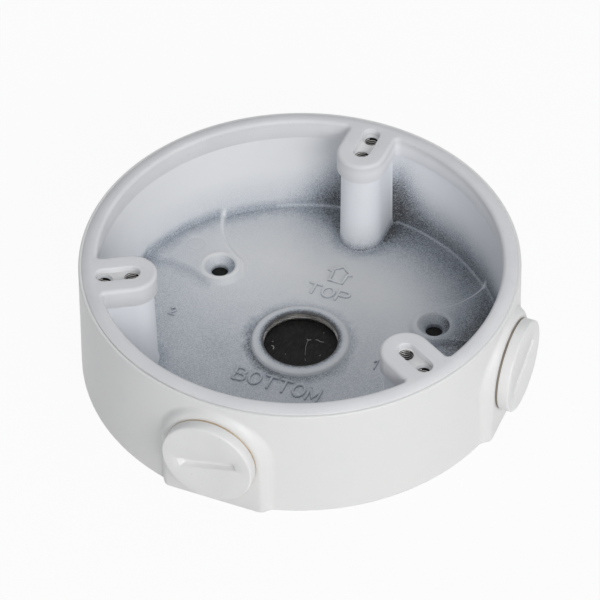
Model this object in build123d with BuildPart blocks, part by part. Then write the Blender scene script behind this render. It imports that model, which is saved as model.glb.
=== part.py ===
# Round die-cast junction box that carries a dome camera on a wall or ceiling.
# Millimetres. Origin: centre of the back face, +Z out of the wall, +Y up the wall.
import os
from math import cos, radians, sin, sqrt, tan

from build123d import *

os.makedirs("parts", exist_ok=True)

# Drum of the housing
base_diameter = 122.0
housing_height = 35.0
drum_draft = 0.8
lip_width = 0.85
lip_edge_break = 0.35

# Cavity, with the draft that lets the casting leave its die
wall_thickness = 3.7
floor_height = 3.0
cavity_draft_angle = 0.8
floor_edge_break = 0.9
corner_radius = 2.5

# Rim gasket on its ledge inside the lip
gasket_seat_depth = 1.0
gasket_flange_thickness = 2.0
gasket_skirt_thickness = 1.2
gasket_skirt_depth = 4.2
gasket_fit = 0.1
gasket_outer_break = 0.8
gasket_inner_break = 0.4

# Posts with two tapped holes each, for two sizes of camera
post_count = 3
post_start_angle = 90.0
post_width = 11.4
outer_screw_inset = 3.1
camera_screw_spacing = 7.5
camera_screw_diameter = 4.0
camera_screw_depth = 14.0
camera_screw_countersink = 5.0
camera_screw_countersink_angle = 60.0
screw_slot_width = 5.3

# Wall screw holes, on raised lands that flare out to the wall
wall_screw_count = 3
wall_screw_start_angle = 30.0
wall_screw_inset = 18.9
wall_screw_diameter = 4.9
wall_screw_countersink = 9.2
land_top_diameter = 12.2
land_height = 1.3
land_slope = 40.0
land_flare_angle = 17.6

# Cable bore in the middle of the back, with a raised ring
cable_bore_diameter = 20.7
cable_ring_diameter = 27.2
cable_ring_height = 1.2
cable_ring_crest_width = 1.0
cable_ring_inner_drop = 0.2
cable_bore_lead_in = 0.6

# Pierceable rubber pad, set flush in the back
pad_border = 7.0
pad_thickness = 1.0
pad_fit = 0.15

# Side entries: flat boss, seal washer and screwed plug
entry_angles = {"bottom": -90.0, "side": 0.0}
entry_boss_radius = 14.3
entry_boss_proud = 0.6
entry_boss_slope = 45.0
entry_top_margin = 3.0
entry_face_fillet = 2.2
entry_foot_fillet = 1.0
entry_bore_diameter = 20.7
entry_bore_length = 8.4

seal_thickness = 0.4
seal_diameter = 25.0
seal_bore_clearance = 0.1

plug_head_diameter = 25.7
plug_head_thickness = 3.3
plug_head_break = 0.5
plug_shank_length = 7.4
plug_shank_fit = 0.1
plug_core_diameter = 14.0
plug_core_depth = 6.6
plug_slot_length = 16.6
plug_slot_floor_length = 12.6
plug_slot_width = 2.6
plug_slot_depth = 1.7
plug_slot_turns = {"bottom": 14.5, "side": 26.5}

# Sizes that follow from these
base_radius = base_diameter / 2
rim_radius = base_radius - drum_draft
seat_radius = rim_radius - lip_width
gasket_radius = seat_radius - gasket_fit
cavity_radius = rim_radius - wall_thickness
ledge_height = housing_height - gasket_seat_depth
cavity_depth = ledge_height - floor_height
wall_middle_radius = (cavity_radius + rim_radius) / 2
outer_screw_radius = cavity_radius - outer_screw_inset
inner_screw_radius = outer_screw_radius - camera_screw_spacing
wall_screw_radius = cavity_radius - wall_screw_inset
land_top = floor_height + land_height
gasket_top = ledge_height + gasket_flange_thickness
pad_radius = base_radius - pad_border
entry_face_distance = base_radius + entry_boss_proud
entry_centre_height = housing_height - entry_top_margin - entry_boss_radius
plug_shank_diameter = entry_bore_diameter - 2 * plug_shank_fit


def cavity_outline(inset):
    """Plan of the cavity at the ledge, moved inwards all round by the inset."""
    reach = wall_middle_radius - inner_screw_radius
    width = post_width + 2 * inset
    with BuildSketch(Plane.XY.offset(ledge_height)) as outline:
        Circle(cavity_radius - inset)
        with PolarLocations(inner_screw_radius, post_count, post_start_angle):
            Circle(width / 2, mode=Mode.SUBTRACT)
        with PolarLocations(inner_screw_radius + reach / 2, post_count, post_start_angle):
            Rectangle(reach, width, mode=Mode.SUBTRACT)
        corners = outline.vertices().filter_by(
            lambda corner: Vector(corner.X, corner.Y, 0).length > outer_screw_radius
        )
        fillet(corners, corner_radius - inset)
    return outline.sketch


def entry_plane(angle, distance):
    """Upright plane across an entry's axis, facing outwards, its x along the rim."""
    outwards = Vector(cos(radians(angle)), sin(radians(angle)), 0)
    sideways = Vector(-outwards.Y, outwards.X, 0)
    centre = outwards * distance + Vector(0, 0, entry_centre_height)
    return Plane(origin=centre, x_dir=sideways, z_dir=outwards)


def level_faces(part, height):
    """Flat faces of the part at one height."""
    return part.faces().filter_by(Axis.Z).filter_by(lambda face: abs(face.center().Z - height) < 0.01)


def is_entry_foot_edge(edge):
    """True for an edge where an entry boss runs into the drafted outside of the drum."""
    for point in (edge @ 0, edge @ 0.5, edge @ 1):
        drum_radius = base_radius - drum_draft * point.Z / housing_height
        if abs(Vector(point.X, point.Y, 0).length - drum_radius) > 0.02:
            return False
    return edge.geom_type == GeomType.BSPLINE


# Boss of a side entry, as it stands on the +X side: flat face, round crown, sides that slope in
with BuildPart() as entry_boss:
    foot_half_width = entry_boss_radius + 3 * entry_boss_proud + entry_face_fillet
    boss_root = rim_radius - base_radius + sqrt(base_radius**2 - foot_half_width**2) - entry_boss_proud
    below_base = 2 * entry_face_fillet
    with BuildSketch(entry_plane(0, entry_face_distance)):
        Circle(entry_boss_radius)
        with Locations((0, -(entry_centre_height + below_base) / 2)):
            Rectangle(2 * entry_boss_radius, entry_centre_height + below_base)
    extrude(amount=boss_root - entry_face_distance, taper=-entry_boss_slope)
    fillet(entry_boss.faces().sort_by(Axis.X)[-1].edges(), entry_face_fillet)
    split(bisect_by=Plane.XY, keep=Keep.TOP)
    split(bisect_by=Plane.XY.offset(housing_height), keep=Keep.BOTTOM)

# Land of a wall screw, as it stands towards +X: round about its hole, flaring out to the wall
with BuildPart() as wall_screw_land:
    flank = land_height * tan(radians(land_slope))
    land_radius = land_top_diameter / 2 + flank
    flare = Vector(wall_middle_radius + flank, 0, 0).rotate(Axis.Z, land_flare_angle)
    with BuildSketch(Plane.XY.offset(floor_height)):
        with BuildLine():
            TangentArc((wall_screw_radius, -land_radius), (flare.X, -flare.Y), tangent=(1, 0))
            Line((flare.X, -flare.Y), (flare.X, flare.Y))
            TangentArc((wall_screw_radius, land_radius), (flare.X, flare.Y), tangent=(1, 0))
            ThreePointArc(
                (wall_screw_radius, land_radius),
                (wall_screw_radius - land_radius, 0),
                (wall_screw_radius, -land_radius),
            )
        make_face()
    extrude(amount=land_height, taper=land_slope)

# Housing: one aluminium die casting
with BuildPart() as housing:
    with BuildSketch(Plane.XZ):
        with BuildLine():
            Polyline(
                (0, 0),
                (base_radius, 0),
                (rim_radius, housing_height),
                (0, housing_height),
                close=True,
            )
        make_face()
    revolve(axis=Axis.Z)
    for angle in entry_angles.values():
        add(entry_boss.part, rotation=(0, 0, angle))
    fillet(housing.edges().filter_by(is_entry_foot_edge), entry_foot_fillet)

    # Seat of the gasket inside the lip, then the cavity around the three posts
    with BuildSketch(Plane.XY.offset(housing_height)):
        Circle(seat_radius)
    extrude(amount=-gasket_seat_depth, mode=Mode.SUBTRACT)
    extrude(to_extrude=cavity_outline(0), amount=-cavity_depth, taper=cavity_draft_angle, mode=Mode.SUBTRACT)
    chamfer(level_faces(housing, housing_height).edges().sort_by(SortBy.LENGTH)[-1], lip_edge_break)
    chamfer(level_faces(housing, floor_height)[0].outer_wire().edges(), floor_edge_break)

    # Wall-screw lands and their countersunk holes
    for location in PolarLocations(0, wall_screw_count, wall_screw_start_angle):
        add(wall_screw_land.part.moved(location))
    with Locations(Plane.XY.offset(land_top)):
        with PolarLocations(wall_screw_radius, wall_screw_count, wall_screw_start_angle):
            CounterSinkHole(
                wall_screw_diameter / 2,
                wall_screw_countersink / 2,
                depth=land_top,
                counter_sink_angle=90,
            )

    # Ring round the cable bore, with a low crest
    bore_radius = cable_bore_diameter / 2
    ring_radius = cable_ring_diameter / 2
    ring_top = floor_height + cable_ring_height
    with BuildSketch(Plane.XZ):
        with BuildLine():
            Polyline(
                (bore_radius, pad_thickness),
                (ring_radius, pad_thickness),
                (ring_radius, floor_height),
                ((bore_radius + cable_ring_crest_width + ring_radius) / 2, ring_top - cable_ring_inner_drop),
                (bore_radius + cable_ring_crest_width, ring_top),
                (bore_radius, ring_top - cable_ring_inner_drop),
                close=True,
            )
        make_face()
    revolve(axis=Axis.Z)

    # Back: shallow seat for the pad, cable bore with its lead-in
    with BuildSketch(Plane.XY):
        Circle(pad_radius + pad_fit)
    extrude(amount=pad_thickness, mode=Mode.SUBTRACT)
    with BuildSketch(Plane.XY):
        Circle(bore_radius)
    extrude(amount=ring_top, mode=Mode.SUBTRACT)
    seat_circles = level_faces(housing, pad_thickness).edges().filter_by(GeomType.CIRCLE)
    bore_mouth = seat_circles.filter_by(lambda circle: abs(circle.radius - bore_radius) < 0.01)
    chamfer(bore_mouth, cable_bore_lead_in)

    # Tapped holes in the posts
    with Locations(Plane.XY.offset(ledge_height)):
        for radius in (inner_screw_radius, outer_screw_radius):
            with PolarLocations(radius, post_count, post_start_angle):
                CounterSinkHole(
                    camera_screw_diameter / 2,
                    camera_screw_countersink / 2,
                    depth=camera_screw_depth,
                    counter_sink_angle=camera_screw_countersink_angle,
                )

    # Threaded bores of the side entries
    for angle in entry_angles.values():
        with BuildSketch(entry_plane(angle, entry_face_distance)):
            Circle(entry_bore_diameter / 2)
        extrude(amount=-entry_bore_length, mode=Mode.SUBTRACT)

housing.part.label = "housing"
export_step(housing.part, "parts/housing.step")

# Rim gasket: one silicone moulding that caps the ledge and the three posts
with BuildPart() as rim_gasket:
    with BuildSketch(Plane.XY.offset(ledge_height)):
        Circle(gasket_radius)
    extrude(amount=gasket_flange_thickness)
    extrude(to_extrude=cavity_outline(gasket_fit), amount=-gasket_skirt_depth)
    inner_outline = cavity_outline(gasket_fit + gasket_skirt_thickness)
    extrude(to_extrude=inner_outline, amount=gasket_flange_thickness, mode=Mode.SUBTRACT)
    extrude(to_extrude=inner_outline, amount=-gasket_skirt_depth, mode=Mode.SUBTRACT)
    flange_top = level_faces(rim_gasket, gasket_top)[0]
    outer_edge = flange_top.outer_wire().edges()
    inner_edges = flange_top.inner_wires()[0].edges()
    chamfer(outer_edge, gasket_outer_break)
    chamfer(inner_edges, gasket_inner_break)
    slot_radius = (inner_screw_radius + outer_screw_radius) / 2
    with BuildSketch(Plane.XY.offset(ledge_height)):
        with PolarLocations(slot_radius, post_count, post_start_angle):
            SlotCenterToCenter(camera_screw_spacing, screw_slot_width)
    extrude(amount=gasket_flange_thickness, mode=Mode.SUBTRACT)
rim_gasket.part.label = "rim_gasket"
export_step(rim_gasket.part, "parts/rim_gasket.step")

# Back pad: a rubber disc that seals against the wall, pierced on site for cable and screws
with BuildPart() as back_pad:
    with BuildSketch(Plane.XY):
        Circle(pad_radius)
    extrude(amount=pad_thickness)
back_pad.part.label = "back_pad"
export_step(back_pad.part, "parts/back_pad.step")


def make_plug_seal(angle):
    """Flat washer between an entry boss and the head of its plug."""
    with BuildPart() as seal:
        with BuildSketch(entry_plane(angle, entry_face_distance)):
            Circle(seal_diameter / 2)
            Circle(plug_shank_diameter / 2 + seal_bore_clearance, mode=Mode.SUBTRACT)
        extrude(amount=seal_thickness)
    return seal.part


def make_entry_plug(angle, slot_turn):
    """Screwed plug with a coin slot in its head and a hollow shank."""
    under_head = entry_face_distance + seal_thickness
    head_plane = entry_plane(angle, under_head + plug_head_thickness)
    outwards = head_plane.z_dir
    plug_axis = Axis(head_plane.origin, outwards)
    with BuildPart() as plug:
        with BuildSketch(entry_plane(angle, under_head)):
            Circle(plug_head_diameter / 2)
        extrude(amount=plug_head_thickness)
        chamfer(plug.faces().sort_by(plug_axis)[-1].edges(), plug_head_break)
        with BuildSketch(entry_plane(angle, under_head)):
            Circle(plug_shank_diameter / 2)
        extrude(amount=-plug_shank_length)
        with BuildSketch(entry_plane(angle, under_head - plug_shank_length)):
            Circle(plug_core_diameter / 2)
        extrude(amount=plug_core_depth, mode=Mode.SUBTRACT)

        # Coin slot: its ends run up to the face as a round cutter leaves them
        along_slot = head_plane.x_dir.rotate(Axis((0, 0, 0), outwards), slot_turn)
        slot_section = Plane(head_plane.origin, x_dir=along_slot, z_dir=along_slot.cross(outwards))
        with BuildSketch(slot_section):
            with BuildLine():
                Polyline(
                    (-plug_slot_length / 2, 0),
                    (plug_slot_length / 2, 0),
                    (plug_slot_floor_length / 2, -plug_slot_depth),
                    (-plug_slot_floor_length / 2, -plug_slot_depth),
                    close=True,
                )
            make_face()
        extrude(amount=plug_slot_width / 2, both=True, mode=Mode.SUBTRACT)
    return plug.part


for side, angle in entry_angles.items():
    plug_seal = make_plug_seal(angle)
    plug_seal.label = f"{side}_plug_seal"
    export_step(plug_seal, f"parts/{side}_plug_seal.step")
    entry_plug = make_entry_plug(angle, plug_slot_turns[side])
    entry_plug.label = f"{side}_entry_plug"
    export_step(entry_plug, f"parts/{side}_entry_plug.step")
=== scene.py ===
import math

import bmesh
import bpy
import numpy as np
from mathutils import Matrix, Vector
from mathutils.geometry import delaunay_2d_cdt


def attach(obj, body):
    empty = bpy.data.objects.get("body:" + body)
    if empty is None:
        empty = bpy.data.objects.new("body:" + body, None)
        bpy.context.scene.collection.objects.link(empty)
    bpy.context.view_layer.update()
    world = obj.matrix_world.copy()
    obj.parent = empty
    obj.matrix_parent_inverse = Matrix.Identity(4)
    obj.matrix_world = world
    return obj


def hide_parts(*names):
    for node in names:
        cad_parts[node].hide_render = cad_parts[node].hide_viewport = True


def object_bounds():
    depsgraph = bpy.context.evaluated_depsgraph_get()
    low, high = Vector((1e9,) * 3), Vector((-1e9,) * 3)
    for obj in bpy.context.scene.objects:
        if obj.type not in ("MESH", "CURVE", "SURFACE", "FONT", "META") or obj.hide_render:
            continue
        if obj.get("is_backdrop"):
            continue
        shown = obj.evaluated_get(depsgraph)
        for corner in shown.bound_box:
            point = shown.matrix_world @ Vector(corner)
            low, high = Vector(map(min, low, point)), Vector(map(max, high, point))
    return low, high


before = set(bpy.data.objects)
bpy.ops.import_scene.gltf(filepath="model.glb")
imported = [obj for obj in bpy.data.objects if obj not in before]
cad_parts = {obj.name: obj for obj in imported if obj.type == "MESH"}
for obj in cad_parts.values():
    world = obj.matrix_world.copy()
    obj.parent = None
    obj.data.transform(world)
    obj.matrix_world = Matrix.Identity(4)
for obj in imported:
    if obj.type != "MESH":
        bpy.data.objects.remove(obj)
cad_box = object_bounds()
scene = bpy.context.scene
scene.view_settings.view_transform = "Standard"

# Camera: a long lens from below and right of the box, 44 degrees up.
# It stands about a metre off, so the drum's sides stay nearly parallel.
view_azimuth = math.radians(22.737)
view_elevation = math.radians(44.176)
view_roll = math.radians(-0.647)
view_distance = 0.9639
view_across = -0.00021
view_up = 0.01372
backwards = Vector(
    (
        math.sin(view_azimuth) * math.cos(view_elevation),
        -math.cos(view_azimuth) * math.cos(view_elevation),
        math.sin(view_elevation),
    )
)
level = Vector((math.cos(view_azimuth), math.sin(view_azimuth), 0))
upright = backwards.cross(level)
rightwards = level * math.cos(view_roll) + upright * math.sin(view_roll)
upwards = upright * math.cos(view_roll) - level * math.sin(view_roll)
stand = rightwards * view_across + upwards * view_up + backwards * view_distance
camera_data = bpy.data.cameras.new("photo_camera")
camera_data.lens = 207.43
camera_data.sensor_width = 36
camera_data.clip_start = 0.05
camera = bpy.data.objects.new("photo_camera", camera_data)
camera.matrix_world = Matrix([(*rightwards, 0), (*upwards, 0), (*backwards, 0), (*stand, 1)]).transposed()
scene.collection.objects.link(camera)
scene.camera = camera


# Studio light: one broad soft box at the front right, three weak ones, and a white tent all round.
# The tent is white to the camera, and lights the box at a plain level.
class Socket:
    """An output of a node that is worked with like a number; each sum adds its Math node."""

    def __init__(self, finish, source):
        self.finish = finish
        self.source = source

    def maths(self, operation, *others):
        """Adds a Math node for this value and others."""
        values = dict(enumerate([self, *others]))
        return self.finish.node("ShaderNodeMath", {"operation": operation}, values)

    def reflected(self, operation, other):
        """The same with this value second, so that 1 - mask works."""
        return self.finish.node("ShaderNodeMath", {"operation": operation}, {0: other, 1: self})

    def __add__(self, other):
        return self.maths("ADD", other)

    def __radd__(self, other):
        return self.maths("ADD", other)

    def __sub__(self, other):
        return self.maths("SUBTRACT", other)

    def __rsub__(self, other):
        return self.reflected("SUBTRACT", other)

    def __mul__(self, other):
        return self.maths("MULTIPLY", other)

    def __rmul__(self, other):
        return self.maths("MULTIPLY", other)

    def __pow__(self, other):
        return self.maths("POWER", other)

    def clipped(self):
        """The value held between 0 and 1."""
        return self.maths("MINIMUM", 1).maths("MAXIMUM", 0)

    def step(self, low, high):
        """0 below low, 1 above high, and a smooth rise between them."""
        settings = {"interpolation_type": "SMOOTHSTEP"}
        return self.finish.node("ShaderNodeMapRange", settings, {0: self, 1: low, 2: high, 3: 0, 4: 1})


class Finish:
    """The node tree of one finish, or of the studio's white tent."""

    def __init__(self, owner):
        owner.use_nodes = True
        self.owner = owner
        self.tree = owner.node_tree
        self.tree.nodes.clear()

    def node(self, kind, settings=None, inputs=None, output=0):
        """One node: its settings first, then the values or links of its sockets."""
        made = self.tree.nodes.new(kind)
        for name, value in (settings or {}).items():
            if name == "stops":
                ramp = made.color_ramp
                while len(ramp.elements) < len(value):
                    ramp.elements.new(0.5)
                for element, (place, colour) in zip(ramp.elements, value):
                    element.position = place
                    element.color = (*colour, 1) if len(colour) == 3 else colour
            else:
                setattr(made, name, value)
        for name, value in (inputs or {}).items():
            if isinstance(value, Socket):
                self.tree.links.new(value.source, made.inputs[name])
            elif isinstance(value, tuple) and len(value) == 3 and made.inputs[name].type == "RGBA":
                made.inputs[name].default_value = (*value, 1)
            else:
                made.inputs[name].default_value = value
        return Socket(self, made.outputs[output]) if len(made.outputs) else made

    def mix(self, factor, first, second):
        """A colour between two others."""
        return self.node("ShaderNodeMix", {"data_type": "RGBA"}, {0: factor, 6: first, 7: second}, 2)

    def place(self):
        """Where a point lies on the object, in metres."""
        return self.node("ShaderNodeTexCoord", None, None, 3)

    def noise(self, scale, detail=2.0, roughness=0.5, place=None):
        """Soft random waves over the piece, their scale in waves a metre."""
        inputs = {"Vector": place or self.place(), "Scale": scale, "Detail": detail, "Roughness": roughness}
        return self.node("ShaderNodeTexNoise", None, inputs)

    def attribute(self, name):
        """A number that is written on the piece's own points."""
        return self.node("ShaderNodeAttribute", {"attribute_name": name}, None, 2)

    def surface(self, values, strength, distance, height):
        """The shader of a finish with its fine relief, and the output of its tree."""
        relief = {"Strength": strength, "Distance": distance, "Height": height}
        bump = self.node("ShaderNodeBump", None, relief)
        shader = self.node("ShaderNodeBsdfPrincipled", None, {**values, "Normal": bump})
        self.node("ShaderNodeOutputMaterial", None, {"Surface": shader})


def camera_sees(finish):
    """1 on the rays that show the tent itself: seen straight, in gloss or through glass."""
    rays = finish.node("ShaderNodeLightPath").source.node
    names = ("Is Camera Ray", "Is Glossy Ray", "Is Transmission Ray")
    straight, in_gloss, through_glass = (Socket(finish, rays.outputs[name]) for name in names)
    return (straight + in_gloss + through_glass).clipped()


tent = Finish(bpy.data.worlds.new("white_tent"))
tent_seen = tent.node("ShaderNodeBackground", None, {"Color": (1, 1, 1), "Strength": 1.0})
tent_light = tent.node("ShaderNodeBackground", None, {"Color": (0.94, 0.97, 1.0), "Strength": 0.36})
tent_mixed = tent.node("ShaderNodeMixShader", None, {0: camera_sees(tent), 1: tent_light, 2: tent_seen})
tent.node("ShaderNodeOutputWorld", None, {"Surface": tent_mixed})
scene.world = tent.owner


box_middle = (0, 0, 0.02)
warm_white = (1.0, 0.995, 0.99)
cool_white = (0.985, 0.99, 1.0)


def soft_box(name, place, width, height, watts, colour):
    """A soft rectangular lamp, aimed at the middle of the box."""
    lamp_data = bpy.data.lights.new(name, "AREA")
    lamp_data.shape = "RECTANGLE"
    lamp_data.size = width
    lamp_data.size_y = height
    lamp_data.energy = watts
    lamp_data.color = colour
    lamp = bpy.data.objects.new(name, lamp_data)
    aimed = (Vector(place) - Vector(box_middle)).to_track_quat("Z", "Y").to_matrix().to_4x4()
    lamp.matrix_world = Matrix.Translation(place) @ aimed
    scene.collection.objects.link(lamp)


soft_box("key_light", (1.25, -1.25, 0.95), 1.0, 0.8, 18.0, warm_white)
soft_box("front_fill", (0.2, -1.8, 0.6), 1.0, 0.6, 3.7, warm_white)
soft_box("right_fill", (1.8, -0.3, 0.7), 1.0, 0.8, 2.9, warm_white)
soft_box("back_light", (0.0, 0.8, 1.2), 1.0, 0.8, 2.7, cool_white)

# The table is white to the camera and keeps a little of the box's shadow.
shadow_kept = 0.06
table_half = 3.0
table_finish = Finish(bpy.data.materials.new("white_table"))
table_seen = table_finish.node("ShaderNodeEmission", None, {"Color": (1, 1, 1), "Strength": 1.0})
table_lit = table_finish.node("ShaderNodeBsdfDiffuse", None, {"Color": (0.7, 0.7, 0.7)})
table_share = camera_sees(table_finish) * (1 - shadow_kept)
table_mixed = table_finish.node("ShaderNodeMixShader", None, {0: table_share, 1: table_lit, 2: table_seen})
table_finish.node("ShaderNodeOutputMaterial", None, {"Surface": table_mixed})
table_corners = [(x * table_half, y * table_half, 0) for x, y in ((-1, -1), (1, -1), (1, 1), (-1, 1))]
table_mesh = bpy.data.meshes.new("white_table")
table_mesh.from_pydata(table_corners, [], [(0, 1, 2, 3)])
table_mesh.materials.append(table_finish.owner)
table = bpy.data.objects.new("white_table", table_mesh)
scene.collection.objects.link(table)
table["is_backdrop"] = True


# Housing: one pressure die casting in aluminium, a drum with a lip, three posts and two flat bosses.
# It is sprayed off-white from the front, so the paint is full outside and thin in the deep corners.
base_radius = 60.985
rim_radius = 60.2
housing_height = 35.0
seat_radius = 59.35
ledge_height = 34.0
floor_height = 3.0
cavity_radius = 56.5
cavity_slope = math.tan(math.radians(0.8))
post_reach = 45.9
post_half_width = 5.7
post_angles = (90.0, 210.0, 330.0)
corner_radius = 2.5
entry_angles = {"bottom": -90.0, "side": 0.0}
entry_height = 17.7
entry_face = 61.6
entry_radius = 14.3
entry_bore_radius = 10.35
cable_bore_radius = 10.35
pad_recess_radius = 54.15
pad_thickness = 1.0
land_angles = (30.0, 150.0, 270.0)
land_height = 1.3
land_top = floor_height + land_height
land_place = 37.6
land_foot_radius = 7.19
land_side_radius = 22.24
flank_start = 0.35
flank_width = 1.75
wall_screw_radius = 2.45
ejector_place = 49.0
camera_screw_places = (45.9, 53.4)


def turned(points, angle):
    """Points (x, y, z) turned about the box's axis."""
    c, s = math.cos(math.radians(angle)), math.sin(math.radians(angle))
    p = np.asarray(points, float)
    return np.stack([p[:, 0] * c - p[:, 1] * s, p[:, 0] * s + p[:, 1] * c, p[:, 2]], 1)


def along_and_across(x, y, angle):
    """How far flat points lie along and across a line that leaves the axis at an angle."""
    c, s = math.cos(math.radians(angle)), math.sin(math.radians(angle))
    return x * c + y * s, y * c - x * s


def circle(radius, height, count, centre=(0.0, 0.0)):
    """A level ring of points round a centre."""
    a = np.linspace(0, 2 * math.pi, count, endpoint=False)
    x, y = centre[0] + radius * np.cos(a), centre[1] + radius * np.sin(a)
    return np.stack([x, y, np.full(count, height)], 1)


def inside(loop, points):
    """Which of the flat points lie inside a closed flat loop."""
    hit = np.zeros(len(points), bool)
    for (x0, y0), (x1, y1) in zip(loop, np.roll(loop, -1, 0)):
        if y0 == y1:
            continue
        across = (points[:, 1] > min(y0, y1)) & (points[:, 1] <= max(y0, y1))
        hit ^= across & (points[:, 0] < x0 + (points[:, 1] - y0) * (x1 - x0) / (y1 - y0))
    return hit


class Skin:
    """A closed surface that grows strip by strip; neighbours share their points."""

    def __init__(self):
        self.points = np.zeros((0, 3))
        self.faces = []

    def row(self, points):
        """Adds points and gives back their numbers."""
        start = len(self.points)
        self.points = np.vstack([self.points, points])
        return np.arange(start, len(self.points))

    def band(self, first, second, closed=True):
        """Quads between two rows of as many points."""
        stop = len(first) if closed else len(first) - 1
        after = [(i + 1) % len(first) for i in range(stop)]
        self.faces += [(first[i], first[j], second[j], second[i]) for i, j in zip(range(stop), after)]
        return second

    def fill(self, outline, holes, flat, loose=()):
        """Triangles across a flat map: within the outline, round the holes, through the loose points."""
        loops = [outline, *holes]
        used = np.concatenate([*loops, np.asarray(loose, int)]).astype(int)
        edges = []
        start = 0
        for loop in loops:
            edges += [(start + i, start + (i + 1) % len(loop)) for i in range(len(loop))]
            start += len(loop)
        flat = np.asarray(flat, float)
        result = delaunay_2d_cdt([Vector(p) for p in flat[used]], edges, [], 0, 1e-7, True)
        place, triangles, origin = np.array([tuple(v) for v in result[0]]), np.array(result[2]), result[3]
        middle = place[triangles].mean(1)
        kept = inside(flat[outline], middle)
        for hole in holes:
            kept &= ~inside(flat[hole], middle)
        for triangle in triangles[kept]:
            self.faces.append(tuple(int(used[origin[corner][0]]) for corner in triangle))

    def finish(self, name, finish, smooth_up_to=38.0):
        """The mesh as an object, its faces turned outwards, its crisp edges kept."""
        mesh = bpy.data.meshes.new(name)
        mesh.from_pydata((self.points * 0.001).tolist(), [], [tuple(int(i) for i in f) for f in self.faces])
        shape = bmesh.new()
        shape.from_mesh(mesh)
        bmesh.ops.remove_doubles(shape, verts=shape.verts, dist=1e-7)
        loose = [v for v in shape.verts if not v.link_faces]
        bmesh.ops.delete(shape, geom=loose, context="VERTS")
        bmesh.ops.recalc_face_normals(shape, faces=shape.faces)
        shape.to_mesh(mesh)
        shape.free()
        mesh.shade_smooth()
        mesh.set_sharp_from_angle(angle=math.radians(smooth_up_to))
        mesh.materials.append(finish.owner)
        piece = bpy.data.objects.new(name, mesh)
        scene.collection.objects.link(piece)
        return piece


def scattered(spacing, taken, low, high):
    """A plain grid of flat points, kept off the points that are there already."""
    xs = np.arange(low[0], high[0], spacing)
    ys = np.arange(low[1], high[1], spacing)
    grid = np.stack([g.ravel() for g in np.meshgrid(xs, ys)], 1)
    closest = 0.62 * spacing
    free = np.ones(len(grid), bool)
    for point in np.asarray(taken):
        free &= ((grid - point) ** 2).sum(1) > closest**2
    return grid[free]


def cavity_outline():
    """Plan of the cavity at its mouth: points along it, and the way inwards at each."""
    points = []
    inwards = []

    def arc(centre, radius, start, stop, count, sense, post):
        for a in np.linspace(start, stop, count, endpoint=False):
            way = np.array([math.cos(a), math.sin(a), 0])
            points.append(turned([np.array([*centre, 0]) + radius * way], post)[0])
            inwards.append(turned([way * sense], post)[0])

    post_steps, side_steps, corner_steps, wall_steps = 40, 9, 14, 120
    half = math.pi / 2
    corner_y = post_half_width + corner_radius
    corner_x = math.sqrt((cavity_radius - corner_radius) ** 2 - corner_y**2)
    corner_turn = math.atan2(corner_y, corner_x)
    for post, following in zip(post_angles, (*post_angles[1:], post_angles[0] + 360)):
        for y_way, stretch in ((-1, (corner_x, post_reach)), (1, (post_reach, corner_x))):
            if y_way == 1:
                arc((post_reach, 0), post_half_width, -half + 2 * math.pi, half, post_steps, 1, post)
            for x in np.linspace(*stretch, side_steps, endpoint=False):
                points.append(turned([[x, y_way * post_half_width, 0]], post)[0])
                inwards.append(turned([[0, y_way, 0]], post)[0])
        arc((corner_x, corner_y), corner_radius, -half, corner_turn, corner_steps, -1, post)
        turn = math.radians(following - post) - corner_turn
        arc((0, 0), cavity_radius, corner_turn, turn, wall_steps, -1, post)
        mirrored = turned([[corner_x, -corner_y, 0]], following - post)[0]
        arc(mirrored[:2], corner_radius, turn, turn + corner_turn + half, corner_steps, -1, post)
    return np.array(points), np.array(inwards)


outline_points, outline_inwards = cavity_outline()


def cavity_row(inset, height):
    """The cavity's outline moved inwards, each point at its own inset and height."""
    row = outline_points + outline_inwards * np.reshape(inset, (-1, 1))
    row[:, 2] = height
    return row


def land_distance(x, y):
    """How far a flat point lies outside the foot of the nearest wall-screw land."""
    nearest = np.full(np.shape(x), 1e3)
    for angle in land_angles:
        along, across = along_and_across(x, y, angle)
        across = np.abs(across)
        head = np.hypot(along - land_place, across) - land_foot_radius
        neck_off = across - land_foot_radius - land_side_radius
        neck = land_side_radius - np.hypot(along - land_place, neck_off)
        nearest = np.minimum(nearest, np.where(along > land_place, neck, head))
    return nearest


def floor_rise(x, y):
    """Height of the cavity's floor, with the lands' soft flanks."""
    t = np.clip((flank_start - land_distance(x, y)) / flank_width, 0, 1)
    return floor_height + land_height * t * t * (3 - 2 * t)


def drum_radius(height):
    """The outside's radius at a height: the drum is drafted towards its rim."""
    return base_radius - (base_radius - rim_radius) * height / housing_height


def entry_surface(y, z):
    """How far out the outside lies at an entry: the flat boss, its soft crown, its foot on the drum."""
    off = np.where(z > entry_height, np.hypot(y, z - entry_height), np.abs(y)) - entry_radius
    crown = 2.2
    lean = math.radians(62)
    start = -crown * math.tan(lean / 2)
    bend = crown - np.sqrt(np.maximum(crown**2 - np.clip(off - start, 0, crown) ** 2, 0))
    fall = np.where(off < start + crown * math.sin(lean), bend, off * math.tan(lean))
    boss = entry_face - np.where(off < start, 0, fall)
    drum = np.sqrt(drum_radius(z) ** 2 - y**2)
    blend = 0.5
    near_foot = np.maximum(blend - np.abs(boss - drum), 0) / blend
    return np.maximum(boss, drum) + near_foot * near_foot * blend / 4


def entry_ring(radius, out, count=96):
    """A ring round the axis of an entry, before it is turned to its side of the box."""
    ring = circle(radius, 0, count)
    return np.stack([np.full(count, out), ring[:, 0], ring[:, 1] + entry_height], 1)


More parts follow.
